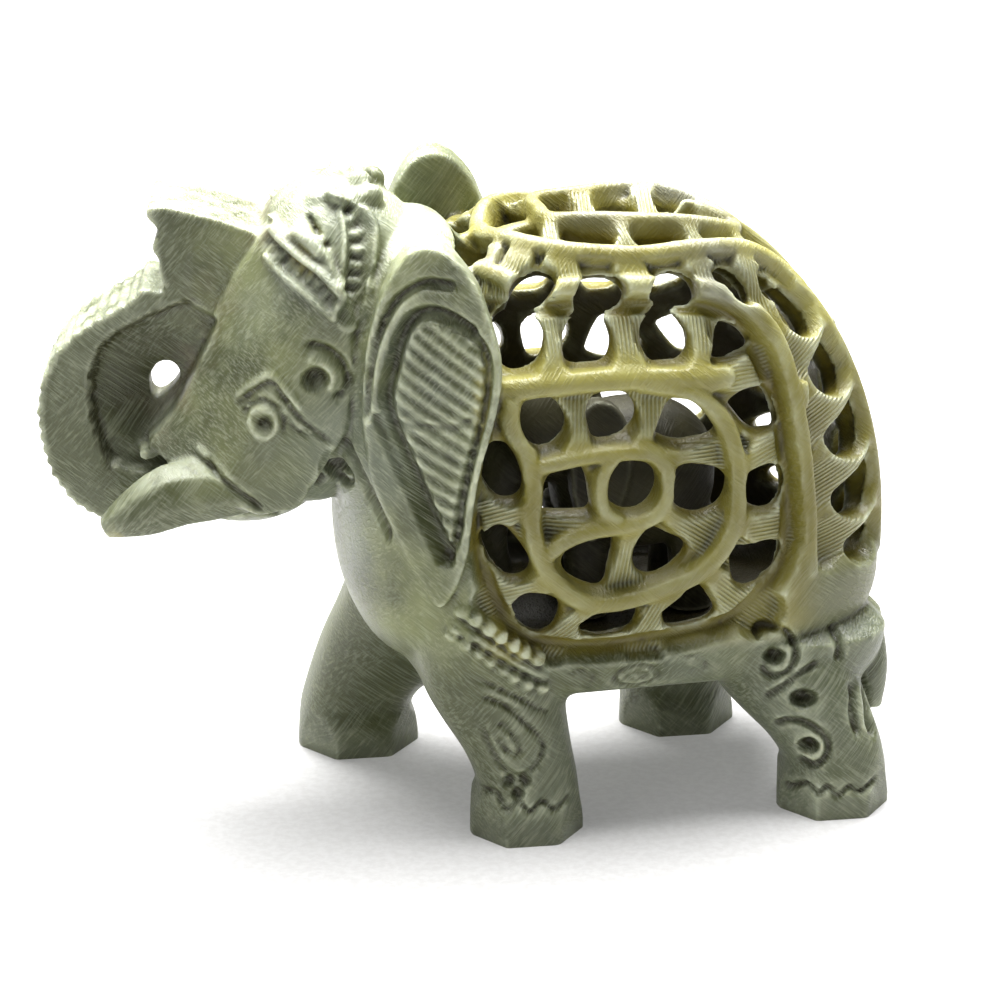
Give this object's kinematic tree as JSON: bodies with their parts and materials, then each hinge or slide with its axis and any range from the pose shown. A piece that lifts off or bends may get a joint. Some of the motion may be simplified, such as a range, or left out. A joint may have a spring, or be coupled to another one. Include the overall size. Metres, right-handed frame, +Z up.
{
  "type": "elephant figurine",
  "caption": "Carved soapstone elephant with raised trunk and a pierced lattice body; a small elephant carved free stands inside the hollow",
  "frame": {"origin": "on the ground under the middle of the figure's bounding box", "axes": "+Z up, -X is the way the elephant walks, +Y is its right side"},
  "size_m": [0.104, 0.0482, 0.08],
  "materials": {
    "elephant": "satin",
    "calf": "satin"
  },
  "bodies": {
    "root": {"elephant": "elephant", "calf": "calf"}
  },
  "joints": []
}
